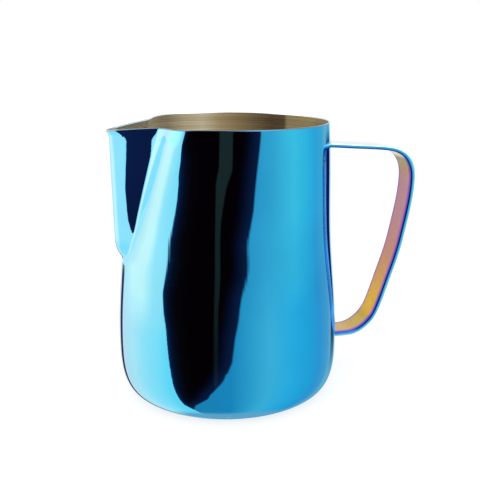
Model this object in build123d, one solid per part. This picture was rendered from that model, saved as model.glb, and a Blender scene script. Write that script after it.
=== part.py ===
"""Milk frothing pitcher: a deep-drawn stainless bowl with a pressed V spout let
into its wall, and an open handle bent from flat strap and welded on at both ends.

Frame: millimetres, +Z up, the base rests on z = 0, the bowl's axis is the Z axis,
the handle is on +X and the spout on -X. The XZ plane is the plane of symmetry."""

from build123d import *
import math
import os

# ---- bowl ------------------------------------------------------------------
HEIGHT = 109.4          # rim above the table, on the handle side
WALL = 0.8              # sheet thickness of bowl and spout
BASE_R = 36.2           # radius of the flat base
BELLY_R = 45.0          # widest radius, at the top of the bottom corner
CORNER_H = 21.1         # height of the bottom corner
CORNER_POWER_R = 2.626  # superellipse powers of the corner
CORNER_POWER_Z = 2.808
SIDE = [                # wall above the corner: height, radius
    (CORNER_H, BELLY_R), (32.0, 44.66), (43.2, 43.83), (54.0, 42.84), (65.3, 41.99),
    (76.0, 41.58), (87.3, 41.31), (98.0, 40.98), (HEIGHT, 40.34), (116.0, 39.9)]

# ---- spout: nose, bowed sides, and the crease where they meet the bowl -------
SPOUT_FOOT_Z = 56.4     # the spout grows out of the wall above this height
RIDGE = [               # height, distance of the ridge from the axis
    (SPOUT_FOOT_Z, 42.67), (57.2, 42.95), (58.2, 43.55), (59.4, 44.25), (61.9, 44.92),
    (64.4, 45.20), (69.2, 45.33), (80.0, 45.45), (92.0, 45.60), (103.6, 45.62),
    (104.8, 45.95), (106.4, 46.80), (107.6, 47.20), (HEIGHT, 47.60), (116.0, 48.2)]
NOSE_R = [(55.0, 6.0), (96.0, 6.0), (106.0, 4.2), (116.0, 3.8)]     # height, radius
SIDE_ANGLE = 45.0       # side against the plane of symmetry, next to the nose
SIDE_BOW_R = 230.0      # the sides are bowed outwards by this radius
CREASE_DEG = [          # height, angle of the crease from the spout's direction
    (55.0, 5.5), (57.1, 6.9), (60.3, 9.5), (64.9, 11.7), (68.7, 13.7), (76.3, 16.6),
    (85.0, 20.2), (94.2, 24.4), (102.4, 28.4), (107.2, 31.4), (112.0, 33.8), (116.0, 35.5)]
CREASE_IN = [           # height, how far the wall is drawn in at the crease
    (55.0, 0.0), (57.1, 0.35), (58.6, 0.95), (60.3, 1.4), (64.9, 1.9), (68.7, 2.5),
    (76.3, 3.4), (85.0, 4.4), (94.2, 5.3), (102.4, 5.85), (107.2, 5.95), (112.0, 6.0),
    (116.0, 6.0)]
DRAW_START = 1.4        # the wall is drawn in from this far below the foot
BLEND_DEG = 28.0        # angle over which the drawn-in wall runs out
CREASE_R = 3.0          # radius in the concave crease
CREASE_FULL_PROUD = 2.5  # the crease radius is full where the ridge stands out this far
SIDE_FALL = 200.0       # how fast the side falls away behind the crease, mm/rad^2
SEAM = 1.2              # width of the weld seam round the spout
OUTLINE_LEVELS = (      # heights on the spout's outline, from the top down
    113.5, 109.0, 105.0, 101.0, 96.0, 90.0, 84.0, 78.0, 73.0, 68.5, 65.0, 62.0, 59.6)
OUTLINE_CLEARANCE = 0.3  # outline outside the crease
ZONE_X = (-15, -60)     # extent in x of the prisms that cut out spout and seam

# ---- rim: drops towards the lip by DIP * (distance / RUN) ** POWER -----------
RIM_DIP = 3.0
RIM_DIP_START = 15.0    # the dip begins this far forward of the axis
RIM_DIP_RUN = 31.7
RIM_DIP_POWER = 1.7
RIM_POINTS = 14
RIM_STEP = 3.0          # spacing of the points along the dip
RIM_CUT_BACK = 60       # the cutter's extent: +X end, half width and top
RIM_CUT_HALF_W = 60
RIM_CUT_TOP = 125

# ---- handle ------------------------------------------------------------------
STRAP_W = 12.8
STRAP_T = 1.9
STRAP_PATH = [          # centre line from the upper weld down: x, z
    (38.0, 99.50), (44.0, 99.12), (51.4, 98.60), (59.2, 98.10), (66.4, 97.45),
    (70.4, 96.62), (74.0, 94.75), (76.8, 91.40), (78.1, 87.60), (78.35, 83.50),
    (78.05, 78.60), (76.95, 71.00), (75.45, 63.40), (74.10, 57.00), (72.50, 51.00),
    (70.15, 43.80), (67.75, 36.50), (65.20, 29.20), (63.90, 26.30), (62.20, 23.70),
    (59.70, 21.20), (56.80, 19.30), (53.40, 18.15), (49.60, 17.95), (41.5, 17.90)]
STRAP_STEPS = 40        # intervals along the strap's two faces
UPPER_COPING_Z = (96.5, 102.2)
LOWER_COPING_Z = (15.2, 20.6)
COPING_GAP = 0.01
WELD = 1.1              # leg of the handle's fillet welds
WELD_ROOT_EXTRA = 0.1   # added to the leg at the buried end
WELD_DEPTH = 1.6        # how far the weld starts inside the wall
WELD_TOE = 0.08         # thickness left where the weld runs out on the strap

# ---- loft sections -------------------------------------------------------------
CORNER_STEPS = (0.0, 0.012, 0.04, 0.09, 0.16, 0.24, 0.33, 0.43, 0.54, 0.66, 0.80)
ROUND_LEVELS = (CORNER_H, 27.0, 34.0, 41.0, 47.0, 51.5)
SPOUT_LEVELS = (54.5, 56.0, 57.2, 58.2, 59.4, 61.0, 63.5, 67.0, 71.0, 76.0, 82.0, 88.5,
                95.0, 100.5, 103.6, 104.8, 106.2, 107.6, 109.6, 112.5)
STATION_Z = 90.0        # the section that sets the curve parameters of all
STEP = 1e-4             # step of the numerical slopes


# ---- section geometry ----------------------------------------------------------
def curve(table):
    """Monotone cubic through (position, value) pairs, constant beyond its ends."""
    xs, ys = zip(*table)
    count = len(xs)
    gaps = [xs[i + 1] - xs[i] for i in range(count - 1)]
    chords = [(ys[i + 1] - ys[i]) / gaps[i] for i in range(count - 1)]
    slopes = [chords[0]] + [0.0] * (count - 2) + [chords[-1]]
    for i in range(1, count - 1):
        if chords[i - 1] * chords[i] > 0:
            before = 2 * gaps[i] + gaps[i - 1]
            after = gaps[i] + 2 * gaps[i - 1]
            slopes[i] = (before + after) / (before / chords[i - 1] + after / chords[i])

    def value(x):
        if x <= xs[0]:
            return ys[0]
        if x >= xs[-1]:
            return ys[-1]
        i = max(k for k in range(count - 1) if xs[k] <= x)
        t = (x - xs[i]) / gaps[i]
        return ((1 + 2 * t) * (1 - t) ** 2 * ys[i]
                + t * (1 - t) ** 2 * gaps[i] * slopes[i]
                + t * t * (3 - 2 * t) * ys[i + 1]
                + t * t * (t - 1) * gaps[i] * slopes[i + 1])
    return value


side_radius = curve(SIDE)
ridge_distance = curve(RIDGE)
nose_radius = curve(NOSE_R)
crease_degrees = curve(CREASE_DEG)
crease_draw = curve(CREASE_IN)


def spout_side(angle, z):
    """Distance of the spout's nose and bowed side from the axis."""
    nose = nose_radius(z)
    centre = ridge_distance(z) - nose
    normal = math.radians(90 - SIDE_ANGLE)
    cos_n, sin_n = math.cos(normal), math.sin(normal)
    join_x, join_y = centre + nose * cos_n, nose * sin_n
    if math.atan2(join_y, join_x) > angle:
        across = centre * math.sin(angle)
        return centre * math.cos(angle) + math.sqrt(max(0.0, nose * nose - across ** 2))
    bow_x, bow_y = join_x - SIDE_BOW_R * cos_n, join_y - SIDE_BOW_R * sin_n
    along = bow_x * math.cos(angle) + bow_y * math.sin(angle)
    return along + math.sqrt(max(
        0.0, SIDE_BOW_R ** 2 - bow_x * bow_x - bow_y * bow_y + along * along))


def radius(angle, z):
    """Distance of the outer face from the axis, at an angle from the spout's
    direction. Wall and spout side meet in a concave crease."""
    body = side_radius(z)
    if z < SPOUT_FOOT_Z - DRAW_START:
        return body
    crease = math.radians(crease_degrees(z))
    fade = min(1.0, max(0.0, (angle - crease) / math.radians(BLEND_DEG)))
    wall = body - crease_draw(z) * 0.5 * (1 + math.cos(math.pi * fade))
    if z < SPOUT_FOOT_Z:
        return wall
    start = spout_side(crease, z)
    slope = (start - spout_side(crease - STEP, z)) / STEP
    if angle <= crease:
        side = spout_side(angle, z)
    else:
        beyond = angle - crease
        side = start + slope * beyond - SIDE_FALL * beyond ** 2
    proud = min(1.0, max(0.0, ridge_distance(z) - body) / CREASE_FULL_PROUD)
    soft = slope * slope * CREASE_R / (2 * start * start) * proud
    # smooth maximum of the two faces
    return 0.5 * (side + wall + math.sqrt((side - wall) ** 2 + soft * soft))


def half_section(z, inset):
    """Half of a horizontal section, spout side first, as (forward, sideways)
    points: forward is -X. inset moves it inwards along its normal."""
    crease = math.radians(crease_degrees(z))
    blend = math.radians(BLEND_DEG)
    back = crease + blend
    angles = ([crease * k / 12 for k in range(12)]
              + [crease + blend * k / 9 for k in range(9)]
              + [back + (math.pi - back) * k / 15 for k in range(16)])
    points = []
    for angle in angles:
        r = radius(angle, z)
        slope = (radius(angle + STEP, z) - radius(abs(angle - STEP), z)) / (2 * STEP)
        length = math.hypot(r, slope)
        radial, around = r / length, -slope / length
        cos_a, sin_a = math.cos(angle), math.sin(angle)
        points.append((r * cos_a - inset * (radial * cos_a - around * sin_a),
                       r * sin_a - inset * (radial * sin_a + around * cos_a)))
    points[0] = (points[0][0], 0.0)
    points[-1] = (points[-1][0], 0.0)
    return points


def ring_points(z, inset):
    """Closed section, from the back under the handle, counter-clockwise."""
    half = half_section(z, inset)
    return [(-f, s) for f, s in reversed(half)] + [(-f, -s) for f, s in half[1:-1]]


def chord_stations(ring):
    """Share of the perimeter reached at each point, from 0 to 1."""
    total = [0.0]
    for start, end in zip(ring, ring[1:] + ring[:1]):
        total.append(total[-1] + math.hypot(end[0] - start[0], end[1] - start[1]))
    return [t / total[-1] for t in total]


# One set of curve parameters for every section, so the lofted faces share knots.
STATIONS = chord_stations(ring_points(STATION_Z, 0.0))


def ring_wire(points, z):
    return Wire([Edge.make_spline([Vector(x, y, z) for x, y in points], periodic=True,
                                  parameters=STATIONS)])


def round_wire(r, z):
    """A round section with its points at the other sections' stations."""
    return ring_wire([(r * math.cos(2 * math.pi * t), r * math.sin(2 * math.pi * t))
                      for t in STATIONS[:-1]], z)


def corner(share, inset):
    """(radius, height) on the bottom corner, share running from 0 at the base
    to 1 at the belly, moved in by inset."""
    def at(u):
        angle = u * math.pi / 2
        return (BASE_R + (BELLY_R - BASE_R) * math.sin(angle) ** (2 / CORNER_POWER_R),
                CORNER_H - CORNER_H * math.cos(angle) ** (2 / CORNER_POWER_Z))
    r, z = at(share)
    before, after = at(max(0.0, share - STEP)), at(min(1.0, share + STEP))
    dr, dz = after[0] - before[0], after[1] - before[1]
    length = math.hypot(dr, dz)
    return r - inset * dz / length, z + inset * dr / length


# ---- bowl, spout and seam --------------------------------------------------------
def full_solid(inset):
    """Bowl and spout together as one solid block, its face moved in by inset."""
    wires = [round_wire(*corner(share, inset)) for share in CORNER_STEPS]
    wires += [round_wire(side_radius(z) - inset, z) for z in ROUND_LEVELS]
    wires += [ring_wire(ring_points(z, inset), z) for z in SPOUT_LEVELS]
    return Part() + Solid.make_loft(wires)


def rim_cutter():
    """Everything above the rim: level at the back, sloping down along the lip."""
    y = -RIM_CUT_HALF_W
    slope = []
    for i in range(RIM_POINTS):
        x = -RIM_DIP_START - i * RIM_STEP
        drop = RIM_DIP * ((-x - RIM_DIP_START) / RIM_DIP_RUN) ** RIM_DIP_POWER
        slope.append(Vector(x, y, HEIGHT - drop))
    tip = slope[-1]
    back = Vector(RIM_CUT_BACK, y, HEIGHT)
    top_front = Vector(tip.X, y, RIM_CUT_TOP)
    top_back = Vector(RIM_CUT_BACK, y, RIM_CUT_TOP)
    face = Face(Wire([
        Edge.make_line(back, slope[0]),
        Edge.make_spline(slope, tangents=[Vector(-1, 0, 0), tip - slope[-2]]),
        Edge.make_line(tip, top_front),
        Edge.make_line(top_front, top_back),
        Edge.make_line(top_back, back)]))
    return Solid.extrude(face, Vector(0, 2 * RIM_CUT_HALF_W, 0))


def spout_zone(grow):
    """Prism along X round the spout, its (y, z) outline grown by grow."""
    half = []
    for z in OUTLINE_LEVELS:
        crease = math.radians(crease_degrees(z))
        half.append((radius(crease, z) * math.sin(crease) + OUTLINE_CLEARANCE + grow, z))
    foot = SPOUT_FOOT_Z - grow
    half += [(5.6 + 0.8 * grow, 57.7 - 0.6 * grow), (3.4 + 0.5 * grow, foot + 0.25),
             (1.5, foot + 0.03), (0.0, foot)]      # rounded foot
    outline = half + [(-y, z) for y, z in reversed(half[:-1])]
    start, end = ZONE_X
    wire = Wire.make_polygon([Vector(start, y, z) for y, z in outline], close=True)
    return Solid.extrude(Face(wire), Vector(end - start, 0, 0))


def bowl_pieces():
    """Bowl body, spout and the seam between them, cut from one shell."""
    shell = full_solid(0.0) - full_solid(WALL)
    shell = shell - rim_cutter()
    zone = spout_zone(0.0)
    seam_zone = spout_zone(SEAM)
    rest = shell - zone
    return rest - seam_zone, shell & zone, rest & seam_zone


# ---- handle ------------------------------------------------------------------------
def full_strap():
    """The strap over its whole path, ends still inside the bowl."""
    path = Edge.make_spline([Vector(x, 0, z) for x, z in STRAP_PATH])

    def strap_side(offset):
        points = []
        for i in range(STRAP_STEPS + 1):
            point, tangent = path @ (i / STRAP_STEPS), path % (i / STRAP_STEPS)
            points.append(Vector(point.X - tangent.Z * offset, -STRAP_W / 2,
                                 point.Z + tangent.X * offset))
        return points

    outside, inside = strap_side(STRAP_T / 2), strap_side(-STRAP_T / 2)
    face = Face(Wire([
        Edge.make_spline(outside),
        Edge.make_line(outside[-1], inside[-1]),
        Edge.make_spline(inside[::-1]),
        Edge.make_line(inside[0], outside[0])]))
    return Part() + Solid.extrude(face, Vector(0, STRAP_W, 0))


def wall_at(z):
    """Bowl wall's radius at the back, by height, in the corner and above it."""
    if z >= CORNER_H:
        return side_radius(z)
    low, high = 0.0, 1.0
    for _ in range(60):
        mid = (low + high) / 2
        if corner(mid, 0.0)[1] < z:
            low = mid
        else:
            high = mid
    return corner(low, 0.0)[0]


def coping(z0, z1):
    """Cone that follows the bowl's wall between two heights, and so shapes the
    end of whatever is butted against it."""
    r0, r1 = wall_at(z0), wall_at(z1)
    proud = max(wall_at(z0 + (z1 - z0) * k / 20) - (r0 + (r1 - r0) * k / 20)
                for k in range(21))
    wire = Wire.make_polygon([Vector(0, 0, z0), Vector(r0 + proud + COPING_GAP, 0, z0),
                              Vector(r1 + proud + COPING_GAP, 0, z1), Vector(0, 0, z1)],
                             close=True)
    return Solid.revolve(Face(wire), 360, Axis.Z)


def weld(wall_x, z, lean, cut, strap):
    """Fillet weld round the strap's end: tall at the wall, thin on the strap.
    lean is the strap's rise per millimetre of x."""
    def ring(x, grow):
        plane = Plane(origin=(x, 0, z + lean * (x - wall_x)), x_dir=(0, 1, 0),
                      z_dir=(1, 0, 0))
        return plane * Rectangle(STRAP_W + 2 * grow, STRAP_T + 2 * grow)
    bead = loft([ring(wall_x - WELD_DEPTH, WELD + WELD_ROOT_EXTRA),
                 ring(wall_x + WELD, WELD_TOE)], ruled=True)
    return bead - cut - strap


def handle_pieces():
    """Strap, upper weld and lower weld."""
    strap = full_strap()
    upper_cut = coping(*UPPER_COPING_Z)
    lower_cut = coping(*LOWER_COPING_Z)
    return (strap - upper_cut - lower_cut,
            weld(wall_x=40.85, z=99.32, lean=-0.075, cut=upper_cut, strap=strap),
            weld(wall_x=44.80, z=17.92, lean=0.004, cut=lower_cut, strap=strap))


# ---- write ---------------------------------------------------------------------------
NAMES = ("bowl_body", "pour_spout", "spout_seam",
         "handle_strap", "upper_handle_weld", "lower_handle_weld")

os.makedirs("parts", exist_ok=True)
for name, shape in zip(NAMES, bowl_pieces() + handle_pieces()):
    solids = shape.solids()
    export_step(Compound(children=list(solids)) if len(solids) > 1 else solids[0],
                os.path.join("parts", name + ".step"))
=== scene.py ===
"""Milk frothing pitcher: coated steel bowl, creased spout, strap handle and its welds.

Shapes are worked out in millimetres and written in metres. The axis is Z and the
pitcher stands on z = 0; +X is the handle, -X the spout, -Y the camera's side."""

import bpy
import bmesh
import math
import numpy as np
from mathutils import Matrix


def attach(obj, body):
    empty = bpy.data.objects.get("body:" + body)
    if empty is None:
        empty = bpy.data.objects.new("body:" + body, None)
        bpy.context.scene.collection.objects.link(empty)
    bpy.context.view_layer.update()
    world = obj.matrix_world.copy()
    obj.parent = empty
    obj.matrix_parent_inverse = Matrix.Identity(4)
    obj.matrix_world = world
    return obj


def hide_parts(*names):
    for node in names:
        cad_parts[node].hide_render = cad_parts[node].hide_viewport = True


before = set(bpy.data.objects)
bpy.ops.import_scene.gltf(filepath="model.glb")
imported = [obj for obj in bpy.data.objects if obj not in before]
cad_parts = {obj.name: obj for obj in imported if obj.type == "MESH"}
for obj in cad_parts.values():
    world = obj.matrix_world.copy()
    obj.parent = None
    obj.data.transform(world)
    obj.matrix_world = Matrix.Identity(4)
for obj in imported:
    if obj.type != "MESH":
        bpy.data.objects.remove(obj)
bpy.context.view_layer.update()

MM = 0.001
PI = math.pi

# ---------------------------------------------------------------- dimensions
HEIGHT, WALL = 109.4, 0.8
BASE_R, BELLY_R = 36.2, 45.0
CORNER_H = 21.1                      # height of the rounded bottom corner
CORNER_POWER_R, CORNER_POWER_Z = 2.626, 2.808
# Round body: height, outer radius
SIDE = [(CORNER_H, BELLY_R), (32.0, 44.66), (43.2, 43.83), (54.0, 42.84), (65.3, 41.99),
        (76.0, 41.58), (87.3, 41.31), (98.0, 40.98), (HEIGHT, 40.34), (116.0, 39.9)]
# Spout's ridge: height, distance from the axis
RIDGE = [(56.4, 42.67), (57.2, 42.95), (58.2, 43.55), (59.4, 44.25), (61.9, 44.92),
         (64.4, 45.20), (69.2, 45.33), (80.0, 45.45), (92.0, 45.60), (103.6, 45.62),
         (104.8, 45.95), (106.4, 46.80), (107.6, 47.20), (109.4, 47.60), (116.0, 48.2)]
# Rounded nose of the ridge: height, radius
NOSE = [(55.0, 6.0), (96.0, 6.0), (106.0, 4.2), (116.0, 3.8)]
NOSE_END = math.radians(45.0)        # where the nose's arc meets the spout's side
BOW = 230.0                          # radius of the spout's bowed sides
# Crease between spout and body: height, degrees from the spout
CREASE = [(55.0, 5.5), (57.1, 6.9), (60.3, 9.5), (64.9, 11.7), (68.7, 13.7),
          (76.3, 16.6), (85.0, 20.2), (94.2, 24.4), (102.4, 28.4), (107.2, 31.4),
          (112.0, 33.8), (116.0, 35.5)]
# How far the body is drawn in at the crease: height, depth
DROP = [(55.0, 0.0), (57.1, 0.35), (58.6, 0.95), (60.3, 1.4), (64.9, 1.9),
        (68.7, 2.5), (76.3, 3.4), (85.0, 4.4), (94.2, 5.3), (102.4, 5.85),
        (107.2, 5.95), (112.0, 6.0), (116.0, 6.0)]
BLEND = math.radians(28.0)           # angle over which that depth fades out
CREASE_R = 1.6
FOOT, SEAM_FOOT = 56.4, 55.2         # lowest heights of the spout and of its seam
SEAM_WIDTH = 1.2
DIP, DIP_START, DIP_RUN, DIP_POWER = 3.0, 15.0, 31.7, 1.7   # rim falls towards the spout
RECESS_DEPTH, RECESS_R, RECESS_FLAT_R = 0.5, 30.0, 27.0     # shallow recess in the base

STRAP_W, STRAP_T, STRAP_EDGE = 12.8, 1.9, 0.62
# Strap's centre line from top to bottom: x, z
STRAP_PATH = [
    (38.0, 99.50), (44.0, 99.12), (51.4, 98.60), (59.2, 98.10), (66.4, 97.45),
    (70.4, 96.62), (74.0, 94.75), (76.8, 91.40), (78.1, 87.60), (78.35, 83.50),
    (78.05, 78.60), (76.95, 71.00), (75.45, 63.40), (74.10, 57.00), (72.50, 51.00),
    (70.15, 43.80), (67.75, 36.50), (65.20, 29.20), (63.90, 26.30), (62.20, 23.70),
    (59.70, 21.20), (56.80, 19.30), (53.40, 18.15), (49.60, 17.95), (41.5, 17.90)]
WELD_LEG = 1.1


# ---------------------------------------------------------------- curves
def ease(x, start, end):
    """Smooth step, 0 at start and 1 at end; start may be the larger."""
    share = np.clip((x - start) / (end - start), 0, 1)
    return share * share * (3 - 2 * share)


def monotone_curve(table):
    """Monotone cubic through (position, value) pairs, on arrays."""
    places, values = np.array(table, float).T
    gaps = np.diff(places)
    chords = np.diff(values) / gaps
    slopes = np.zeros(len(places))
    slopes[0], slopes[-1] = chords[0], chords[-1]
    for i in range(1, len(places) - 1):
        if chords[i - 1] * chords[i] > 0:
            before, after = 2 * gaps[i] + gaps[i - 1], gaps[i] + 2 * gaps[i - 1]
            slopes[i] = (before + after) / (before / chords[i - 1] + after / chords[i])

    def value(x):
        x = np.clip(np.asarray(x, float), places[0], places[-1])
        i = np.clip(np.searchsorted(places, x, side="right") - 1, 0, len(places) - 2)
        part = (x - places[i]) / gaps[i]
        rest = 1 - part
        return ((1 + 2 * part) * rest ** 2 * values[i]
                + part * rest ** 2 * gaps[i] * slopes[i]
                + part * part * (3 - 2 * part) * values[i + 1]
                + part * part * (part - 1) * gaps[i] * slopes[i + 1])
    return value


def natural_spline(table):
    """C2 spline through (position, value) pairs, on arrays."""
    places, values = np.array(table, float).T
    count = len(places)
    gaps = np.diff(places)
    chords = np.diff(values) / gaps
    system = np.zeros((count, count))
    right = np.zeros(count)
    system[0, 0] = system[-1, -1] = 1.0
    for i in range(1, count - 1):
        system[i, i - 1:i + 2] = gaps[i - 1], 2 * (gaps[i - 1] + gaps[i]), gaps[i]
        right[i] = 6 * (chords[i] - chords[i - 1])
    bend = np.linalg.solve(system, right)

    def value(x):
        x = np.asarray(x, float)
        i = np.clip(np.searchsorted(places, x, side="right") - 1, 0, count - 2)
        gap, left, passed = gaps[i], places[i + 1] - x, x - places[i]
        return ((bend[i] * left ** 3 + bend[i + 1] * passed ** 3) / (6 * gap)
                + (values[i] / gap - bend[i] * gap / 6) * left
                + (values[i + 1] / gap - bend[i + 1] * gap / 6) * passed)
    return value


# ---------------------------------------------------------------- bowl and spout surface
side_radius = natural_spline([(14.0, BELLY_R)] + SIDE)
ridge_reach = monotone_curve(RIDGE)
nose_radius = monotone_curve(NOSE)
crease_angle = monotone_curve([(z, math.radians(degrees)) for z, degrees in CREASE])
crease_depth = monotone_curve(DROP)


def nose_arc(z):
    """Nose's radius, its centre's distance from the axis, and its arc's end point."""
    nose_r = nose_radius(z)
    centre = ridge_reach(z) - nose_r
    end_x = centre + nose_r * math.cos(NOSE_END)
    return nose_r, centre, end_x, nose_r * math.sin(NOSE_END)


def spout_radius(angle, z):
    nose_r, centre, end_x, end_y = nose_arc(z)
    nose = centre * np.cos(angle) + np.sqrt(
        np.maximum(0, nose_r ** 2 - (centre * np.sin(angle)) ** 2))
    bow_x, bow_y = end_x - BOW * math.cos(NOSE_END), end_y - BOW * math.sin(NOSE_END)
    along = bow_x * np.cos(angle) + bow_y * np.sin(angle)
    flat = along + np.sqrt(
        np.maximum(0, BOW ** 2 - bow_x * bow_x - bow_y * bow_y + along * along))
    return np.where(np.arctan2(end_y, end_x) > angle, nose, flat)


def radius(angle, z):
    """Outer face's distance from the axis, by angle from the spout and height."""
    angle, z = np.broadcast_arrays(np.abs(np.asarray(angle, float)), np.asarray(z, float))
    body = side_radius(z)
    crease = crease_angle(z)
    past = angle - crease
    wall = body - crease_depth(z) * 0.5 * (1 + np.cos(PI * np.clip(past / BLEND, 0, 1)))
    # beyond the crease the spout's side runs on, bending inwards
    start = spout_radius(crease, z)
    slope = (start - spout_radius(crease - 1e-4, z)) / 1e-4
    side = np.where(angle <= crease, spout_radius(angle, z),
                    start + slope * past - 200 * past ** 2)
    # the larger of the two, rounded where they meet
    lift = np.clip((ridge_reach(z) - body) / 2.5, 0, 1)
    soft = slope ** 2 * CREASE_R / (2 * start ** 2) * lift
    both = 0.5 * (side + wall + np.sqrt((side - wall) ** 2 + soft ** 2))
    return np.where(z < FOOT - 1.4, body, np.where(z < FOOT, wall, both))


def corner_profile(share):
    """(radius, height) round the bottom corner, share 0..1."""
    angle = np.asarray(share, float) * PI / 2
    return (BASE_R + (BELLY_R - BASE_R) * np.sin(angle) ** (2 / CORNER_POWER_R),
            CORNER_H - CORNER_H * np.cos(angle) ** (2 / CORNER_POWER_Z))


def rim_height(x):
    return HEIGHT - DIP * np.maximum(0, (-x - DIP_START) / DIP_RUN) ** DIP_POWER


def base_height(distance):
    return RECESS_DEPTH * ease(np.asarray(distance, float), RECESS_R, RECESS_FLAT_R)


# ---------------------------------------------------------------- sheet-metal grid
LIP_R = WALL / 2                     # radius of the rolled rim
LIP_STEPS = 8
RIM_START = 95.0                     # above this, rows follow the rim's dip
SEAM_MIN = 0.12                      # seam's least angle from the spout
# columns on one side, from the spout's ridge to the handle
SPOUT_COLS, SEAM_COLS, CREASE_COLS, REST_COLS = 36, 4, 30, 70
SEAM_END = SPOUT_COLS + SEAM_COLS
HALF_COLS = SEAM_END + CREASE_COLS + REST_COLS
COLS = 2 * HALF_COLS
# Crowned shading of the spout's sides: its turn, and height, share of the side
# from nose to crease where it begins
CROWN = math.radians(16.0)
CROWN_START = [(66, 1.0), (68, 0.82), (70, 0.64), (73, 0.46), (77, 0.35), (81, 0.28),
               (85, 0.23), (92, 0.22), (100, 0.22), (103, 0.22), (105, 0.17), (107.5, 0.03)]

# Kinds of row; each row's station is a share of the base radius, a share of the
# corner, a height, or a share of the way from RIM_START to the rim.
BASE_ROW, CORNER_ROW, SIDE_ROW, RIM_ROW = range(4)
STATIONS = {
    BASE_ROW: [np.linspace(0.02, 0.70, 8), np.linspace(0.735, 0.84, 9),
               np.linspace(0.88, 0.99, 4)],
    CORNER_ROW: [np.linspace(0.0, 1.0, 52) ** 1.25],
    SIDE_ROW: [np.linspace(22.3, 54.0, 27),
               [54.35, 54.7, 55.0, SEAM_FOOT, 55.5, 55.8, 56.1, FOOT],
               np.linspace(56.65, 62.0, 22), np.linspace(63.0, RIM_START, 33)],
    RIM_ROW: [np.linspace(0, 1, 32)[1:]]}
ROWS = [(kind, float(station)) for kind, parts in STATIONS.items()
        for station in np.concatenate(parts)]
SEAM_ROW = ROWS.index((SIDE_ROW, SEAM_FOOT))
FOOT_ROW = ROWS.index((SIDE_ROW, FOOT))


def column_angles(z):
    """Angles round the axis at a height: the seam's edges lie on columns."""
    crease = float(crease_angle(z))
    upper = crease + 0.3 / float(radius(crease, z))
    seam_in = SEAM_MIN + (max(upper, SEAM_MIN) - SEAM_MIN) * ease(z, 57.0, 61.0)
    seam_out = seam_in + SEAM_WIDTH / float(radius(seam_in, z))
    blend_end = max(crease, 0.2) + BLEND + math.radians(5)

    def spread(start, end, count, power=1):
        return start + (end - start) * np.linspace(0, 1, count + 1)[:-1] ** power

    half = np.concatenate([spread(0, seam_in, SPOUT_COLS, 0.95),
                           spread(seam_in, seam_out, SEAM_COLS),
                           spread(seam_out, blend_end, CREASE_COLS, 1.35),
                           spread(blend_end, PI, REST_COLS), [PI]])
    return np.concatenate([half, -half[1:-1][::-1]])


def place(distance, z, angle):
    return np.stack([-distance * np.cos(angle), distance * np.sin(angle), z], axis=-1)


def row_points(kind, station, angle):
    """Outer face's points on a row, for an array of angles."""
    if kind == BASE_ROW:
        distance = np.full(angle.shape, station * BASE_R)
        return place(distance, base_height(distance), angle)
    if kind == CORNER_ROW:
        distance, z = corner_profile(station)
        return place(np.full(angle.shape, distance), np.full(angle.shape, z), angle)
    if kind == SIDE_ROW:
        return place(radius(angle, station), np.full(angle.shape, station), angle)
    z = np.full(angle.shape, 107.0)
    for _ in range(8):
        z = rim_height(-radius(angle, z) * np.cos(angle)) - LIP_R
    z = RIM_START + (z - RIM_START) * station
    return place(radius(angle, z), z, angle)


def crowned(normals, angle, z):
    """Normals of the spout's sides turned towards the sides, as on crowned metal."""
    _, _, end_x, end_y = nose_arc(z)
    crease = crease_angle(z)
    nose_edge = np.arctan2(end_y, end_x) * 0.90
    width = np.abs(angle)
    begin = nose_edge + np.interp(z, *zip(*CROWN_START)) * (crease - nose_edge)
    share = (ease(width, begin, begin + 0.035) * ease(width, crease + 0.010, crease - 0.015)
             * np.clip((z - 64.5) / 3.0, 0, 1))
    turn = CROWN * share * np.sign(angle)
    cosine, sine = np.cos(turn), np.sin(turn)
    flatten = 1 - 0.9 * share * np.clip((z - 96.0) / 4.0, 0, 1)
    x, y, up = normals.T
    turned = np.stack([x * cosine + y * sine, -x * sine + y * cosine, up * flatten], axis=1)
    return unit(turned)


def unit(vectors):
    return vectors / np.linalg.norm(vectors, axis=1, keepdims=True)


def row_surface(kind, station):
    """Outer points, outward normals and upward tangents of a row."""
    if kind == RIM_ROW:
        angle = column_angles(RIM_START + 13.6 * station)
    else:
        angle = column_angles(max(station, 56.0))
    points = row_points(kind, station, angle)
    step = 1e-3
    around = row_points(kind, station, angle + step) - row_points(kind, station, angle - step)
    if kind in (BASE_ROW, SIDE_ROW):
        step = 1e-3 if kind == BASE_ROW else 0.02
        low, high = station - step, station + step
    else:
        low, high = max(0.0, station - 2e-3), min(1.0, station + 2e-3)
    upward = row_points(kind, high, angle) - row_points(kind, low, angle)
    normals = unit(np.cross(upward, around))
    radial = place(np.ones(angle.shape), np.zeros(angle.shape), angle)
    if kind == BASE_ROW:
        normals *= -np.sign(normals[:, 2:3])
    else:
        normals *= np.sign(np.sum(normals * radial, axis=1, keepdims=True))
    if kind == CORNER_ROW and station <= 0:
        normals[:] = (0, 0, -1)
    if kind == CORNER_ROW and station >= 1:
        normals = radial
    if kind in (SIDE_ROW, RIM_ROW) and points[0, 2] > 57.0:
        normals = crowned(normals, angle, points[:, 2])
    return points, normals, unit(upward)


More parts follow.
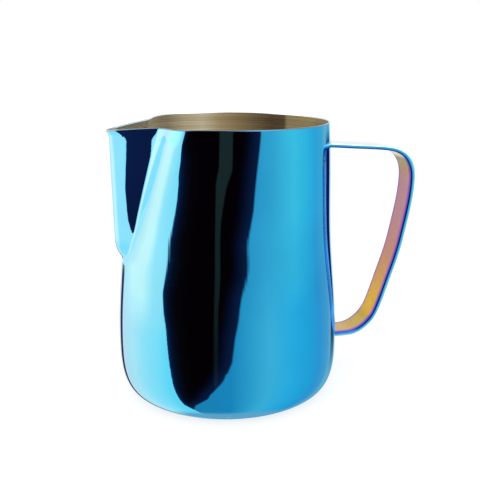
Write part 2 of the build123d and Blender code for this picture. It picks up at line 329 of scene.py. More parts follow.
def sheet_grid():
    """Points and normals up the outer face, over the lip and down the inner face."""
    surfaces = [row_surface(kind, station) for kind, station in ROWS]
    outer = np.array([points for points, _, _ in surfaces])
    outward = np.array([normals for _, normals, _ in surfaces])
    top, top_normal, upward = surfaces[-1]
    upward = unit(upward - top_normal * np.sum(top_normal * upward, axis=1, keepdims=True))
    lip_normals = []
    for k in range(1, LIP_STEPS):
        angle = PI * k / LIP_STEPS
        lip_normals.append(math.cos(angle) * top_normal + math.sin(angle) * upward)
    lip_normals = np.array(lip_normals)
    lip_points = top - LIP_R * top_normal + LIP_R * lip_normals
    inner = outer - WALL * outward
    return (np.concatenate([outer, lip_points, inner[::-1]]),
            np.concatenate([outward, lip_normals, -outward[::-1]]))


GRID, NORMALS = sheet_grid()
LAST = len(GRID) - 1                 # row LAST - i is the inner face of row i
TOP_ROW = len(ROWS) - 1

BOWL, SPOUT, SEAM = range(3)


def piece_of(i, j):
    """Piece that owns the outer cell between rows i and i + 1."""
    column = j if j < HALF_COLS else COLS - 1 - j
    if i >= FOOT_ROW and column < SPOUT_COLS:
        return SPOUT
    return SEAM if i >= SEAM_ROW and column < SEAM_END else BOWL


CELL = np.array([[piece_of(i, j) for j in range(COLS)] for i in range(TOP_ROW)])


# ---------------------------------------------------------------- meshes
def facing(corners, points, direction):
    """The corners, reversed if their face would look away from the direction."""
    half = len(corners) // 2
    normal = np.cross(points[half] - points[0], points[-1] - points[half - 1])
    return corners[::-1] if np.dot(normal, direction) < 0 else corners


def to_mesh(name, points, faces, materials):
    """Object from points in mm and faces of (corners, corner normals, material slot).

    A face with None for normals is flat; if all are, no custom normals are set."""
    mesh = bpy.data.meshes.new(name)
    mesh.from_pydata((np.array(points) * MM).tolist(), [], [face[0] for face in faces])
    for material in materials:
        mesh.materials.append(material)
    mesh.polygons.foreach_set("material_index", [face[2] for face in faces])
    mesh.polygons.foreach_set("use_smooth", [True] * len(faces))
    mesh.update()
    editable = bmesh.new()
    editable.from_mesh(mesh)
    bmesh.ops.recalc_face_normals(editable, faces=editable.faces)
    editable.to_mesh(mesh)
    editable.free()
    mesh.update()
    if any(face[1] is not None for face in faces):
        # the faces may have been turned over, so each normal is found by its vertex
        custom = [None] * len(mesh.loops)
        for polygon, (corners, normals, _) in zip(mesh.polygons, faces):
            own = {} if normals is None else dict(zip(corners, normals))
            for k in polygon.loop_indices:
                normal = own.get(mesh.loops[k].vertex_index, polygon.normal)
                custom[k] = tuple(map(float, normal))
        mesh.normals_split_custom_set(custom)
    mesh.validate(clean_customdata=False)
    return link_object(name, mesh)


def link_object(name, data):
    thing = bpy.data.objects.new(name, data)
    bpy.context.scene.collection.objects.link(thing)
    return thing


def sheet_piece(name, which, materials):
    """Closed piece: outer face, lip and inner face of its cells, and cut edges."""
    index, points, faces = {}, [], []

    def vertex(key):
        if key not in index:
            index[key] = len(points)
            points.append(GRID[key])
        return index[key]

    def add_face(keys, direction, slot=0, smooth=False):
        keys = [(row, column % COLS) for row, column in keys]
        keys = facing(keys, [GRID[key] for key in keys], direction)
        normals = [NORMALS[key] for key in keys] if smooth else None
        faces.append(([vertex(key) for key in keys], normals, slot))

    def surface(i, j, slot):
        keys = [(i, j), (i, j + 1), (i + 1, j + 1), (i + 1, j)]
        add_face(keys, NORMALS[i, j], slot, smooth=True)

    def middle(first, second):
        return (GRID[first[0], first[1] % COLS] + GRID[second[0], second[1] % COLS]) / 2

    def cut(first, second, centre):
        """Wall through the sheet below the grid edge from first to second."""
        inside = [(LAST - row, column) for row, column in (second, first)]
        add_face([first, second] + inside, middle(first, second) - centre)

    for i, j in np.argwhere(CELL == which).tolist():
        surface(i, j, 0)
        surface(LAST - 1 - i, j, 1)
        centre = middle((i, j), (i + 1, j + 1))
        for step, edge in ((-1, j), (1, j + 1)):
            if CELL[i, (j + step) % COLS] != which:
                cut((i, edge), (i + 1, edge), centre)
        for step, edge in ((-1, i), (1, i + 1)):
            if 0 <= i + step < TOP_ROW and CELL[i + step, j] != which:
                cut((edge, j), (edge, j + 1), centre)
    for j in range(COLS):
        if CELL[-1, j] != which:
            continue
        for k in range(LIP_STEPS):
            surface(TOP_ROW + k, j, 2)
        centre = middle((TOP_ROW, j), (TOP_ROW, j + 1))
        for step, edge in ((-1, j), (1, j + 1)):
            if CELL[-1, (j + step) % COLS] != which:
                add_face([(TOP_ROW + k, edge) for k in range(LIP_STEPS + 1)],
                         GRID[TOP_ROW, edge % COLS] - centre)
    if which == BOWL:
        # fans that close the base, below and inside
        for i, sign, rise, slot in ((0, -1.0, 0.0, 0), (LAST, 1.0, WALL, 1)):
            hub = len(points)
            points.append(np.array([0, 0, base_height(0.0) + rise]))
            normal = np.array([0.0, 0.0, sign])
            for j in range(COLS):
                corners = [hub, vertex((i, j)), vertex((i, (j + 1) % COLS))]
                corners = facing(corners, [points[k] for k in corners], normal)
                faces.append((corners, [normal] * 3, slot))
    return to_mesh(name, points, faces, materials)


# ---------------------------------------------------------------- handle strap
CORNER_RADII, CORNER_HEIGHTS = corner_profile(np.linspace(0, 1, 2001))


def wall_radius(z):
    """Bowl wall's radius at the handle by height, in the corner and above it."""
    return np.where(z < CORNER_H, np.interp(z, CORNER_HEIGHTS, CORNER_RADII), side_radius(z))


def wall_x(y, z):
    return np.sqrt(np.maximum(1.0, wall_radius(z) ** 2 - y ** 2))


def strap_section():
    """Rounded flat section: closed (across, out) points with their normals."""
    across, out = STRAP_W / 2 - STRAP_EDGE, STRAP_T / 2 - STRAP_EDGE
    centres = [(across, out), (-across, out), (-across, -out), (across, -out)]
    points, normals = [], []
    for k, (x, y) in enumerate(centres):
        for i in range(9):
            angle = math.radians(90 * k + 90 * i / 8)
            normal = (math.cos(angle), math.sin(angle))
            points.append((x + STRAP_EDGE * normal[0], y + STRAP_EDGE * normal[1]))
            normals.append(normal)
        # straight run to the next corner
        start = np.array(points[-1])
        end = np.array(centres[(k + 1) % 4]) + STRAP_EDGE * np.array(normal)
        steps = 12 if k % 2 == 0 else 2
        for i in range(1, steps):
            points.append(tuple(start + (end - start) * i / steps))
            normals.append(normal)
    return np.array(points), np.array(normals)


SECTION, SECTION_NORMALS = strap_section()


def strap_curve():
    """Stations on the free part of the centre line: x, z and the tangent's x, z."""
    path = np.array(STRAP_PATH)
    length = np.concatenate([[0], np.cumsum(np.hypot(*np.diff(path, axis=0).T))])
    x_at = natural_spline(list(zip(length, path[:, 0])))
    z_at = natural_spline(list(zip(length, path[:, 1])))
    run = np.linspace(0, length[-1], 4001)
    free = np.nonzero(x_at(run) > wall_radius(z_at(run)) + 0.25)[0]
    run = np.linspace(run[free[0]], run[free[-1]], 300)
    step = 0.02
    along_x = x_at(run + step) - x_at(run - step)
    along_z = z_at(run + step) - z_at(run - step)
    size = np.hypot(along_x, along_z)
    return x_at(run), z_at(run), along_x / size, along_z / size


def strap_piece(name, materials):
    x, z, along_x, along_z = (values[:, None] for values in strap_curve())
    count, around = len(x), len(SECTION)

    def sweep(x, z, section):
        across, out = section.T
        across = np.broadcast_to(across, (count, around))
        return np.stack([x - along_z * out, across, z + along_x * out], axis=-1)

    points = sweep(x, z, SECTION)
    normals = sweep(0, 0, SECTION_NORMALS)
    for i in (0, count - 1):
        points[i, :, 0] = wall_x(points[i, :, 1], points[i, :, 2]) - 0.1
    faces = []
    for i in range(count - 1):
        for k in range(around):
            after = (k + 1) % around
            keys = [(i, k), (i + 1, k), (i + 1, after), (i, after)]
            keys = facing(keys, [points[key] for key in keys], normals[i, k])
            out = (SECTION[k, 1] + SECTION[after, 1]) / 2
            faces.append(([row * around + column for row, column in keys],
                          [normals[key] for key in keys],
                          1 if out < -STRAP_T / 2 + 0.12 else 0))
    points = points.reshape(-1, 3)
    to_bowl = np.array([-1.0, 0, 0])
    for i in (0, count - 1):
        corners = list(range(i * around, (i + 1) * around))
        corners = facing(corners, points[corners], to_bowl)
        faces.append((corners, [to_bowl] * around, 0))
    strap = to_mesh(name, points, faces, materials)
    # place through the thickness, -1 inner face to 1 outer face
    through = strap.data.attributes.new("through", "FLOAT", "POINT")
    values = np.tile(SECTION[:, 1] / (STRAP_T / 2), count)
    through.data.foreach_set("value", values.astype(np.float32))
    return strap


def weld_piece(name, height, slope, material):
    """Fillet weld bead round the strap's end, with the ripple of its passes."""
    around, arc = 260, 9
    closed = np.vstack([SECTION, SECTION[:1]])
    closed_normals = np.vstack([SECTION_NORMALS, SECTION_NORMALS[:1]])
    length = np.concatenate([[0], np.cumsum(np.hypot(*np.diff(closed, axis=0).T))])
    run = np.linspace(0, length[-1], around, endpoint=False)
    across, out = (np.interp(run, length, values) for values in closed.T)
    normal = np.array([np.interp(run, length, values) for values in closed_normals.T])
    normal /= np.hypot(*normal)
    turn = 2 * PI * run / length[-1]
    leg = WELD_LEG * (1.0 + 0.07 * np.sin(turn * 30) + 0.05 * np.sin(turn * 7 + 0.8))

    def ring(offset, lift, tilted=True):
        """Points off the strap by offset and off the bowl's wall by lift."""
        y = across + normal[0] * offset
        z = height + out + normal[1] * offset
        return np.stack([wall_x(y, z) + lift, y, z + slope * lift * tilted], axis=1)

    rings = []
    for i in range(arc):
        share = i / (arc - 1)
        offset = leg * (1 - 0.62 * math.sin(share * PI / 2) - 0.38 * share)
        lift = leg * (1 - 0.62 * math.cos(share * PI / 2) - 0.38 * (1 - share))
        if i == 0:
            lift = lift - 0.06
        if i == arc - 1:
            offset = offset - 0.05
        rings.append(ring(offset, lift))
    # the hidden side, sunk in the strap and the bowl's wall
    rings += [ring(-0.25, WELD_LEG * 0.8), ring(-0.25, -0.2, tilted=False),
              ring(WELD_LEG * 0.6, -0.25, tilted=False)]
    points = np.concatenate(rings)
    corners = []
    for i in range(len(rings)):
        here, there = i * around, (i + 1) % len(rings) * around
        for k in range(around):
            after = (k + 1) % around
            corners.append([here + k, here + after, there + after, there + k])
    first, second, third, fourth = points[np.array(corners)].transpose(1, 0, 2)
    if np.sum(first * (np.cross(second, third) + np.cross(third, fourth))) < 0:
        corners = [face[::-1] for face in corners]
    weld = to_mesh(name, points, [(face, None, 0) for face in corners], [material])
    weld.data.set_sharp_from_angle(angle=math.radians(50))
    return weld


# ---------------------------------------------------------------- materials
COAT = (0.20, 0.62, 0.95)            # blue interference coat over polished steel
# the camera's turn about Z: its right is (cos, -sin), away from it is (sin, cos)
VIEW_COS, VIEW_SIN = 0.976, 0.218


class Shader:
    """Metal material being built; any node input takes a value or a socket."""

    def __init__(self, name):
        self.material = bpy.data.materials.new(name)
        self.material.use_nodes = True
        self.tree = self.material.node_tree
        self.tree.nodes.clear()
        self.surface = self.add("BsdfPrincipled", {"Metallic": 1.0})
        self.add("OutputMaterial", {"Surface": self.surface.outputs["BSDF"]})
        self.place = self.add("TexCoord").outputs["Object"]

    def feed(self, node, inputs):
        for key, value in inputs.items():
            if isinstance(value, bpy.types.NodeSocket):
                self.tree.links.new(value, node.inputs[key])
            else:
                is_colour = isinstance(value, tuple)
                node.inputs[key].default_value = (*value, 1) if is_colour else value

    def add(self, kind, inputs={}, **settings):
        node = self.tree.nodes.new("ShaderNode" + kind)
        for key, value in settings.items():
            setattr(node, key, value)
        self.feed(node, inputs)
        return node

    def finish(self, inputs):
        """Feed the metal's inputs and return the material."""
        self.feed(self.surface, inputs)
        return self.material

    def math(self, operation, *values):
        return self.add("Math", dict(enumerate(values)), operation=operation).outputs[0]

    def noise(self, scale, detail=3.0, roughness=0.55, vector=None):
        return self.add("TexNoise", {"Vector": vector or self.place, "Scale": scale,
                                     "Detail": detail, "Roughness": roughness}).outputs["Fac"]

    def sway(self, noise, amount):
        """Noise centred on zero."""
        return self.math("MULTIPLY", self.math("SUBTRACT", noise, 0.5), amount)

    def span(self, value, source, to=(0.0, 1.0)):
        """Value mapped from the source range to another."""
        return self.add("MapRange", {"Value": value, "From Min": source[0],
                                     "From Max": source[1], "To Min": to[0],
                                     "To Max": to[1]}).outputs["Result"]

    def ramp(self, factor, stops, interpolation="LINEAR"):
        """Colour ramp of (position, colour) stops."""
        node = self.add("ValToRGB", {"Fac": factor})
        node.color_ramp.interpolation = interpolation
        elements = node.color_ramp.elements
        for k in (0, -1):
            elements[k].position, elements[k].color = stops[k][0], (*stops[k][1], 1)
        for position, colour in stops[1:-1]:
            elements.new(position).color = (*colour, 1)
        return node.outputs["Color"]

    def mix(self, share, first, second):
        return self.add("Mix", {"Factor": share, "A": first, "B": second},
                        data_type="RGBA").outputs["Result"]

    def by_view(self, mirrored, direct):
        """One colour when seen in a mirror, another when seen directly."""
        camera_ray = self.add("LightPath").outputs["Is Camera Ray"]
        return self.mix(camera_ray, mirrored, direct)

    def split(self):
        return self.add("SeparateXYZ", {0: self.place}).outputs

    def bump(self, height, strength, distance):
        return self.add("Bump", {"Strength": strength, "Distance": distance,
                                 "Height": height}).outputs["Normal"]


def coated_mirror(name, rough=(0.012, 0.045), wave=0.03, creased=False):
    """Blue-coated mirror polish: faint buffing haze and slow waviness; on the crease's pieces a
    painted reflection and a faint painted navy glow as well.
    """
    shader = Shader(name)
    colour = shader.ramp(shader.noise(scale=28.0), [
        (0.3, tuple(c * 0.95 for c in COAT)), (0.7, tuple(c * 1.04 for c in COAT))])
    if creased:
        # painted reflection: seen in a mirror, the crease's pieces are painted near white so that
        # the crease's second mirror image keeps the strength of the first; a faint painted navy
        # glow is added as well
        colour = shader.by_view(mirrored=(0.9, 0.98, 1.0), direct=colour)
        shader.feed(shader.surface, {"Emission Color": (0.0018, 0.0085, 0.048),
                                     "Emission Strength": 1.0})
    haze = shader.noise(scale=420.0, detail=5.0, roughness=0.65)
    waves = shader.noise(scale=55.0, detail=1.0, roughness=0.3)
    return shader.finish({
        "Base Color": colour,
        "Specular Tint": (0.62, 0.88, 1.0),
        "Roughness": shader.span(haze, source=(0.35, 0.75), to=rough),
        "Normal": shader.bump(waves, strength=wave, distance=0.00006)})


# Brushed steel: brushing value, colour before the level is applied
BRUSHED = [(0.30, (0.30, 0.245, 0.165)), (0.52, (0.56, 0.47, 0.33)), (0.72, (0.80, 0.71, 0.54))]
# Painted sheen near the rim, glowing colours from the camera's left to its right
SHEEN = [
    (0.00, (0.17, 0.15, 0.11)), (0.217, (0.16, 0.135, 0.09)), (0.30, (0.36, 0.31, 0.20)),
    (0.383, (0.44, 0.39, 0.26)), (0.467, (0.27, 0.205, 0.115)), (0.55, (0.155, 0.118, 0.058)),
    (0.633, (0.078, 0.058, 0.032)), (0.717, (0.022, 0.013, 0.007)),
    (0.775, (0.022, 0.013, 0.007)), (0.790, (0.185, 0.150, 0.082)),
    (0.883, (0.185, 0.155, 0.072)), (1.00, (0.10, 0.08, 0.055))]
# Deeper in the bowl the painted sheen's bands run into each other
DEEP_SHEEN = [
    (0.00, (0.15, 0.13, 0.09)), (0.25, (0.27, 0.23, 0.15)), (0.40, (0.31, 0.26, 0.17)),
    (0.58, (0.15, 0.12, 0.065)), (0.74, (0.07, 0.055, 0.03)), (0.90, (0.12, 0.095, 0.05)),
    (1.00, (0.11, 0.09, 0.055))]


def brushed_inside(name, level=0.50, glow=0.95):
    """Bare steel inside, brushed round the axis, with a painted sheen that glows in upright bands
    and fades towards the bottom.
    """
    shader = Shader(name)
    math_node, span = shader.math, shader.span
    x, y, z = shader.split()
    distance = math_node("SQRT", math_node("ADD", math_node("MULTIPLY", x, x),
                                           math_node("MULTIPLY", y, y)))
    # level rings up the wall and the spout, circles on the bottom
    ring = math_node("SUBTRACT", z, math_node("MINIMUM", distance, 0.037))
    lines = shader.add("CombineXYZ", {0: math_node("MULTIPLY", x, 0.22),
                                      1: math_node("MULTIPLY", y, 0.22),
                                      2: math_node("MULTIPLY", ring, 60.0)}).outputs[0]
    fine = shader.noise(scale=55.0, detail=4.0, roughness=0.7, vector=lines)
    wide = shader.noise(scale=9.0, detail=3.0, roughness=0.6, vector=lines)
    brushing = math_node("ADD", math_node("MULTIPLY", fine, 0.65),
                         math_node("MULTIPLY", wide, 0.35))
    # painted sheen: a soft glow across the brushing, in broad upright bands across the camera's
    # view, weaker towards the bottom
    across = math_node("SUBTRACT", math_node("MULTIPLY", x, VIEW_COS),
                       math_node("MULTIPLY", y, VIEW_SIN))
    width = (-0.045, 0.045)
    sheen = shader.ramp(span(across, source=width), SHEEN)
    deep = shader.ramp(span(across, source=width), DEEP_SHEEN, "B_SPLINE")
    depth = span(z, source=(0.010, 0.095), to=(0.25, 1.0))
    streaks = span(brushing, source=(0.35, 0.68), to=(0.62, 1.35))
    colours = [(stop, tuple(level * c for c in colour)) for stop, colour in BRUSHED]
    return shader.finish({
        "Base Color": shader.ramp(brushing, colours),
        "Emission Color": shader.mix(span(z, source=(0.084, 0.100)), deep, sheen),
        "Emission Strength": math_node("MULTIPLY", math_node("MULTIPLY", depth, streaks), glow),
        "Roughness": span(brushing, source=(0.3, 0.7), to=(0.22, 0.40)),
        "Anisotropic": 0.75,
        "Tangent": shader.add("Tangent", direction_type="RADIAL", axis="Z").outputs[0],
        "Normal": shader.bump(brushing, strength=0.35, distance=0.00008)})


def polished_lip(name):
    """Rim edge: polished metal in a painted highlight, dark blue on the camera's side and paler
    away from the camera.
    """
    shader = Shader(name)
    marks = shader.noise(scale=900.0)
    x, y, _ = shader.split()
    # painted highlight: the rim's colour grows paler away from the camera, swayed by polish marks
    away = shader.math("ADD", shader.math("MULTIPLY", x, VIEW_SIN),
                       shader.math("MULTIPLY", y, VIEW_COS))
    away = shader.math("ADD", shader.span(away, source=(-0.040, 0.040)),
                       shader.sway(marks, amount=0.25))
    return shader.finish({
        "Base Color": shader.ramp(away, [(0.15, (0.09, 0.19, 0.30)), (0.55, (0.30, 0.42, 0.52)),
                                         (0.90, (0.78, 0.82, 0.84))]),
        "Roughness": shader.span(marks, source=(0.3, 0.7), to=(0.10, 0.22))})


def strap_outer(name):
    """Strap edges and outer face: blue, painted paler along the edges towards the outer face as a
    painted highlight and painted deep blue towards the inner corner as painted shade; a painted
    pale highlight at grazing angles and a faint painted glow along the outer edges."""
    shader = Shader(name)
    through = shader.add("Attribute", attribute_name="through").outputs["Fac"]
    wobble = shader.sway(shader.noise(scale=120.0, detail=2.0), amount=0.35)
    thickness_place = shader.span(shader.math("ADD", through, wobble), source=(-1.0, 1.0))
    # colour through the thickness: blue on the outer face, painted paler along the edges as a
    # painted highlight, painted deep blue towards the inner corner as painted shade
    coat = shader.ramp(thickness_place, [
        (0.0, (0.03, 0.03, 0.36)), (0.20, (0.05, 0.09, 0.50)), (0.36, (0.22, 0.50, 0.85)),
        (0.62, (0.45, 0.70, 0.92)), (0.85, (0.60, 0.78, 0.95)), (0.93, (0.26, 0.62, 0.92))])
    # painted highlight: pale grey where the edges are seen at a grazing angle
    tilt = shader.add("LayerWeight", {"Blend": 0.5}).outputs["Facing"]
    painted_graze_highlight = shader.math("MULTIPLY", shader.span(tilt, source=(0.50, 0.78)),
                        shader.span(thickness_place, source=(0.86, 0.96)))
    haze = shader.noise(scale=420.0, detail=5.0)
    return shader.finish({
        "Base Color": shader.mix(painted_graze_highlight, coat, (0.66, 0.65, 0.63)),
        # a faint painted glow along the edges towards the outer face
        "Emission Color": shader.ramp(thickness_place, [
            (0.50, (0.0, 0.0, 0.0)), (0.72, (0.10, 0.10, 0.09)), (0.86, (0.22, 0.20, 0.17)),
            (0.94, (0.0, 0.0, 0.0))]),
        "Emission Strength": 1.0,
        "Roughness": shader.span(haze, source=(0.35, 0.75), to=(0.03, 0.10))})


def strap_inner(name):
    """Strap's inner face: from gold at the bottom through mauve to gold at the top,
    with blue-violet fringes along the edges."""
    shader = Shader(name)
    _, y, z = shader.split()
    drift = shader.sway(shader.noise(scale=70.0, detail=2.0), amount=0.08)
    height = shader.math("ADD", shader.span(z, source=(0.016, 0.100)), drift)
    middle = shader.ramp(height, [
        (0.00, (0.55, 0.35, 0.12)), (0.05, (0.52, 0.34, 0.09)), (0.12, (0.42, 0.37, 0.045)),
        (0.21, (0.40, 0.35, 0.04)), (0.32, (0.36, 0.27, 0.11)), (0.44, (0.33, 0.22, 0.20)),
        (0.60, (0.32, 0.22, 0.30)), (0.78, (0.33, 0.235, 0.34)), (0.84, (0.40, 0.28, 0.28)),
        (0.90, (0.72, 0.50, 0.20)), (1.00, (0.90, 0.64, 0.26))])
    side = shader.math("ABSOLUTE", shader.math("SUBTRACT", y, 0.0004))
    side = shader.math("ADD", side, shader.math("MULTIPLY", drift, 0.006))
    fringe = shader.ramp(shader.span(side, source=(0.0050, 0.0064)),
                         [(0.0, (0.22, 0.08, 0.50)), (1.0, (0.05, 0.04, 0.42))])
    face = shader.mix(shader.span(side, source=(0.0038, 0.0056)), middle, fringe)
    grain = shader.noise(scale=600.0, detail=4.0)
    return shader.finish({
        # seen in the bowl's own mirror the face is painted a darker blue, a painted shade for a
        # face lit from the bowl's side only
        "Base Color": shader.by_view(mirrored=(0.20, 0.40, 0.66), direct=face),
        "Roughness": shader.span(grain, source=(0.3, 0.7), to=(0.16, 0.30))})


def weld_tint(name):
    """Weld bead: mottled blue and purple heat colours, slightly rough."""
    shader = Shader(name)
    mottle = shader.noise(scale=260.0, detail=4.0, roughness=0.6)
    return shader.finish({
        "Base Color": shader.ramp(mottle, [(0.30, (0.10, 0.16, 0.50)), (0.50, (0.26, 0.14, 0.46)),
                                           (0.70, (0.16, 0.42, 0.75))]),
        "Roughness": shader.span(mottle, source=(0.3, 0.7), to=(0.14, 0.32)),
        "Normal": shader.bump(shader.noise(scale=1500.0), strength=0.25, distance=0.00006)})


bowl_mirror = coated_mirror("bowl_mirror_mat")
# spout and seam carry the crease's painted reflection and painted navy glow
spout_mirror = coated_mirror("spout_mirror_mat", creased=True)
seam_mirror = coated_mirror("seam_mirror_mat", rough=(0.02, 0.07), wave=0.08, creased=True)
strap_mirror = strap_outer("strap_mirror_mat")
inside = brushed_inside("brushed_inside_mat")
# the spout's inside: a darker brushed base and a weaker painted sheen
inside_spout = brushed_inside("brushed_spout_mat", level=0.44, glow=0.66)
lip = polished_lip("polished_lip_mat")
strap_warm = strap_inner("strap_inner_mat")
weld_mat = weld_tint("weld_tint_mat")

# ---------------------------------------------------------------- pieces
# object, CAD piece it replaces, material slot
PIECES = [
    (sheet_piece("bowl", BOWL, [bowl_mirror, inside, lip]), "bowl_body", "bowl_mirror"),
    (sheet_piece("spout", SPOUT, [spout_mirror, inside_spout, lip]),
     "pour_spout", "spout_mirror"),
    (sheet_piece("seam", SEAM, [seam_mirror, inside_spout, lip]), "spout_seam", "seam_mirror"),
    (strap_piece("strap", [strap_mirror, strap_warm]), "handle_strap", "strap_mirror"),
    (weld_piece("upper_weld", 99.32, -0.075, weld_mat), "upper_handle_weld", "weld_tint"),
    (weld_piece("lower_weld", 17.92, 0.0, weld_mat), "lower_handle_weld", "weld_tint")]
for piece, cad_name, slot_name in PIECES:
    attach(piece, "root")
    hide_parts(cad_name)

# ---------------------------------------------------------------- studio
# A light dome that only mirrors see. Bearing 0 is the spout's direction, growing
# through the camera's side (90) to the handle (180); rise is the angle above level.
DOME_R, DOME_Z = 0.300, 0.060        # metres
WRAP = -57                           # bearings run from here once round
# Edges of the dark flag: rise, bearing
FLAG_LEFT = [(-62, 34), (-51, 26), (-40, 24), (-30, 22), (-22, 19), (-16, 17), (-13, 14),
             (-10, 12), (-8.5, 14), (-7.3, 17), (-6.5, 21), (-5, 24), (-3, 27), (0, 29),
             (5, 30), (9, 24), (13, 19), (16, 16)]
FLAG_RIGHT = [(-62, 30), (-51, 40), (-41, 57), (-37, 60), (-32, 67), (-28, 74), (-23, 81),
              (-16, 84), (-12, 87.3), (-10, 88.5), (-8.4, 90.3), (-7.7, 92.2), (-7, 95.6),
              (-6, 99.5), (-4, 103), (0, 105.5), (5, 108.3), (10, 111.3), (16, 112)]
# Flag: degrees in from its left edge, sRGB colour
FLAG = [(0, (4, 50, 100)), (2.5, (4, 24, 58)), (7, (4, 12, 28)), (14, (4, 4, 9)), (24, (3, 1, 3))]
# Grey streak in the flag: rise, bearing; rise, half width
STREAK_CENTRE = [(-25, 66), (-10, 66.5), (-5, 68.5), (0, 72), (3, 76), (10, 77)]
STREAK_HALF = [(-10, 1.0), (-5, 1.8), (-1, 3.8), (2, 5.5)]
# Backdrops: bearing, sRGB colour
PALE_HIGH = [(-57, (166, 228, 246)), (-35, (198, 247, 253)), (-16, (190, 248, 253)),
             (-8, (168, 240, 252)), (0, (146, 229, 251)), (30, (120, 222, 249))]
PALE_LOW = [(-57, (178, 220, 238)), (-30, (168, 232, 250)), (-8, (134, 225, 249)),
            (6, (118, 221, 248)), (18, (95, 214, 246))]
CYAN_HIGH = [(88, (30, 138, 190)), (108, (42, 152, 202)), (122, (46, 163, 208)),
             (136, (54, 178, 219)), (148, (56, 189, 225)), (166, (44, 178, 223)),
             (180, (42, 162, 217)), (195, (58, 163, 210)), (212, (104, 184, 212))]
CYAN_LOW = [(40, (24, 128, 178)), (80, (24, 134, 188)), (100, (44, 158, 204)),
            (116, (56, 172, 215)), (140, (38, 168, 220)), (164, (32, 158, 214)),
            (180, (42, 148, 208)), (198, (68, 154, 203)), (212, (112, 176, 202))]
FAR = [(205, (84, 172, 208)), (225, (66, 158, 204)), (255, (62, 150, 200)),
       (276, (120, 184, 214)), (290, (166, 228, 246)), (303, (166, 228, 246))]
# Overhead light: bearing, strength
TOP_LIGHT = [(-57, 1.6), (-30, 1.9), (4, 1.7), (12, 1.0), (18, 0.10), (34, 0.10), (76, 0.10),
             (98, 1.2), (110, 3.0), (135, 2.6), (160, 1.3), (200, 1.2), (235, 1.15),
             (270, 1.15), (303, 1.6)]


def linear(colour):
    """Linear light from 0..255 sRGB."""
    colour = np.asarray(colour, float) / 255.0
    return np.where(colour <= 0.04045, colour / 12.92, ((colour + 0.055) / 1.055) ** 2.4)


def look_up(x, table):
    return np.interp(x, *zip(*table))


def bands(x, stops):
    colours = linear([colour for _, colour in stops])
    places = [stop for stop, _ in stops]
    return np.stack([np.interp(x, places, channel) for channel in colours.T], axis=-1)


def window(x, rise_start, rise_end, fall_start, fall_end):
    """0 to 1 and back to 0, with eased edges."""
    return ease(x, rise_start, rise_end) * (1 - ease(x, fall_start, fall_end))


def blend(first, second, share):
    share = share[..., None]
    return first * (1 - share) + second * share


def studio_colour(bearing, rise):
    """What the coated steel should look like when it mirrors this direction."""
    left, right = look_up(rise, FLAG_LEFT), look_up(rise, FLAG_RIGHT)
    from_right = right - bearing
    pale = blend(bands(bearing, PALE_HIGH), bands(bearing, PALE_LOW), ease(rise, -10, -22))
    cyan = blend(bands(bearing, CYAN_HIGH), bands(bearing, CYAN_LOW), ease(rise, -3, -15))
    flag = bands(bearing - left, FLAG)
    off_streak = np.abs(bearing - look_up(rise, STREAK_CENTRE))
    half = look_up(rise, STREAK_HALF)
    streak = ease(off_streak, half + 1.8, half) * np.interp(rise, [-20, 0], [0.35, 1.0])
    flag = blend(flag, linear((22, 38, 41)), streak)
    # blue glow inside the flag's right edge
    flag = flag + ease(from_right, 24, 0)[..., None] ** 2 * linear((6, 30, 68)) * 0.8
    colour = np.where((bearing < left)[..., None], pale,
                      np.where((bearing > right)[..., None], cyan, flag))
    on_edge = (np.abs(from_right) < 1.2) & (bearing > left)
    colour = np.where(on_edge[..., None], blend(flag, cyan, ease(from_right, 1.2, -1.2)), colour)
    colour = blend(colour, bands(bearing, FAR), ease(bearing, 202, 216))
    # dark upright post beyond the handle, then a dark strip low beyond the spout
    post = window(bearing, 206, 209, 221, 224) * window(rise, -36, -22, 2.5, 6)
    colour = blend(colour, linear((16, 16, 84)), post)
    strip = window(bearing, 289.5, 291.5, 301.5, 303) * ease(rise, -12, -15)
    return blend(colour, linear((34, 50, 90)), strip)


def dome_light(bearing, rise):
    """Linear light of the dome, allowing for the coat's own tint."""
    bearing = np.where(bearing > WRAP, bearing, bearing + 360)
    colour = studio_colour(bearing, np.clip(rise, -60, 16)) / np.array(COAT)
    side = window(bearing, 252, 268, 276, 288) * ease(rise, -45, -38)
    side = side * (1 - ((bearing > 290) & (rise < -13)))
    colour = blend(colour, np.array((0.60, 0.62, 0.62)), side)
    wash = window(bearing, 222, 225, 244, 254) * ease(rise, -36, -22)
    colour = blend(colour, np.array((1.05, 1.05, 1.05)), wash)
    top = look_up(bearing, TOP_LIGHT)[..., None] * np.array((1.0, 0.985, 0.96))
    top = blend(top, np.array((1.3, 1.3, 1.3)), ease(rise, 68, 84))
    colour = blend(colour, top, ease(rise, 13, 19))
    return blend(colour, np.array((0.55, 0.6, 0.62)), ease(rise, -62, -74))


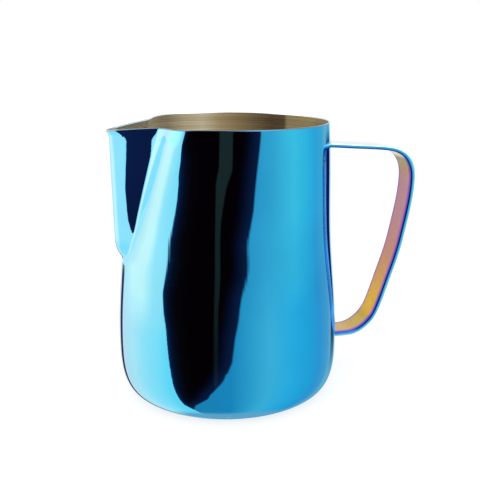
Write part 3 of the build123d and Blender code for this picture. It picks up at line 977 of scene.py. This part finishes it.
def build_dome():
    around, levels = 900, 300
    bearing, rise = np.meshgrid(np.linspace(-180, 180, around, endpoint=False),
                                np.linspace(-89, 89, levels))
    turn, lift = np.radians(bearing), np.radians(rise)
    points = np.stack([-DOME_R * np.cos(turn) * np.cos(lift),
                       -DOME_R * np.sin(turn) * np.cos(lift),
                       DOME_Z + DOME_R * np.sin(lift)], axis=-1).reshape(-1, 3)
    mesh = bpy.data.meshes.new("light_dome")
    index = np.arange(around * levels).reshape(levels, around)
    after = np.roll(index, -1, 1)
    quads = np.stack([index[:-1], after[:-1], after[1:], index[1:]], axis=-1).reshape(-1, 4)
    mesh.from_pydata(points.tolist(), [], quads.tolist())
    colours = np.ones((around * levels, 4), np.float32)
    colours[:, :3] = dome_light(bearing, rise).reshape(-1, 3)
    studio = mesh.color_attributes.new("studio", "FLOAT_COLOR", "POINT")
    studio.data.foreach_set("color", colours.ravel())
    dome = link_object("light_dome", mesh)
    material = bpy.data.materials.new("light_dome_mat")
    material.use_nodes = True
    tree = material.node_tree
    tree.nodes.clear()
    output = tree.nodes.new("ShaderNodeOutputMaterial")
    emission = tree.nodes.new("ShaderNodeEmission")
    attribute = tree.nodes.new("ShaderNodeAttribute")
    attribute.attribute_name = "studio"
    tree.links.new(attribute.outputs["Color"], emission.inputs["Color"])
    tree.links.new(emission.outputs[0], output.inputs["Surface"])
    mesh.materials.append(material)
    dome.visible_camera = dome.visible_diffuse = dome.visible_shadow = False
    dome.visible_transmission = dome.visible_volume_scatter = False


def build_floor():
    """Glowing matt floor, clear from below and unseen by mirrors."""
    material = bpy.data.materials.new("floor_mat")
    material.use_nodes = True
    tree = material.node_tree
    matt = tree.nodes["Principled BSDF"]
    for key, value in {"Roughness": 0.9, "Specular IOR Level": 0.0,
                       "Base Color": (0.28, 0.28, 0.28, 1), "Emission Color": (1, 1, 1, 1),
                       "Emission Strength": 0.78}.items():
        matt.inputs[key].default_value = value
    mix = tree.nodes.new("ShaderNodeMixShader")
    clear = tree.nodes.new("ShaderNodeBsdfTransparent")
    geometry = tree.nodes.new("ShaderNodeNewGeometry")
    tree.links.new(geometry.outputs["Backfacing"], mix.inputs[0])
    tree.links.new(matt.outputs[0], mix.inputs[1])
    tree.links.new(clear.outputs[0], mix.inputs[2])
    tree.links.new(mix.outputs[0], tree.nodes["Material Output"].inputs["Surface"])
    mesh = bpy.data.meshes.new("floor")
    half, z = 8, -0.0002
    mesh.from_pydata([(-half, -half, z), (half, -half, z), (half, half, z), (-half, half, z)],
                     [], [(0, 1, 2, 3)])
    mesh.materials.append(material)
    floor = link_object("floor", mesh)
    floor.visible_glossy = False


def build_world():
    world = bpy.data.worlds.new("studio_world")
    bpy.context.scene.world = world
    world.use_nodes = True
    tree = world.node_tree
    tree.nodes.clear()
    output = tree.nodes.new("ShaderNodeOutputWorld")
    background = tree.nodes.new("ShaderNodeBackground")
    background.inputs["Color"].default_value = (1, 1, 1, 1)
    background.inputs["Strength"].default_value = 1.0
    tree.links.new(background.outputs[0], output.inputs["Surface"])


def build_top_light():
    data = bpy.data.lights.new("soft_top", "AREA")
    data.energy, data.size = 5.0, 1.2
    light = bpy.data.objects.new("soft_top", data)
    light.location = (-0.2, -0.3, 1.3)
    light.rotation_euler = (math.radians(13), math.radians(-9), 0)
    light.visible_glossy = False
    bpy.context.scene.collection.objects.link(light)


def build_camera():
    """Camera looking down by pitch, turned from +Y towards +X by yaw (radians)."""
    pitch, yaw, roll = 0.278, 0.0506 + math.radians(12.58), 0.0073
    position = (-0.06626, -0.29692, 0.13615)
    right = np.array([math.cos(yaw), -math.sin(yaw), 0.0])
    ahead = np.array([math.sin(yaw), math.cos(yaw), 0.0])
    vertical = np.array([0.0, 0.0, 1.0])
    backward = math.sin(pitch) * vertical - math.cos(pitch) * ahead
    upward = math.sin(pitch) * ahead + math.cos(pitch) * vertical
    matrix = np.eye(4)
    matrix[:3] = np.column_stack([math.cos(roll) * right + math.sin(roll) * upward,
                                  math.cos(roll) * upward - math.sin(roll) * right,
                                  backward, position])
    data = bpy.data.cameras.new("camera")
    data.lens, data.sensor_width = 57.44, 36.0
    data.shift_x, data.shift_y = -0.0520, 0.0578
    data.clip_start = 0.01
    camera = bpy.data.objects.new("camera", data)
    camera.matrix_world = Matrix(matrix.tolist())
    bpy.context.scene.collection.objects.link(camera)
    bpy.context.scene.camera = camera


build_dome()
build_floor()
build_world()
build_top_light()
build_camera()
bpy.context.scene.view_settings.view_transform = "Standard"
bpy.context.scene.view_settings.look = "None"

bpy.context.view_layer.update()
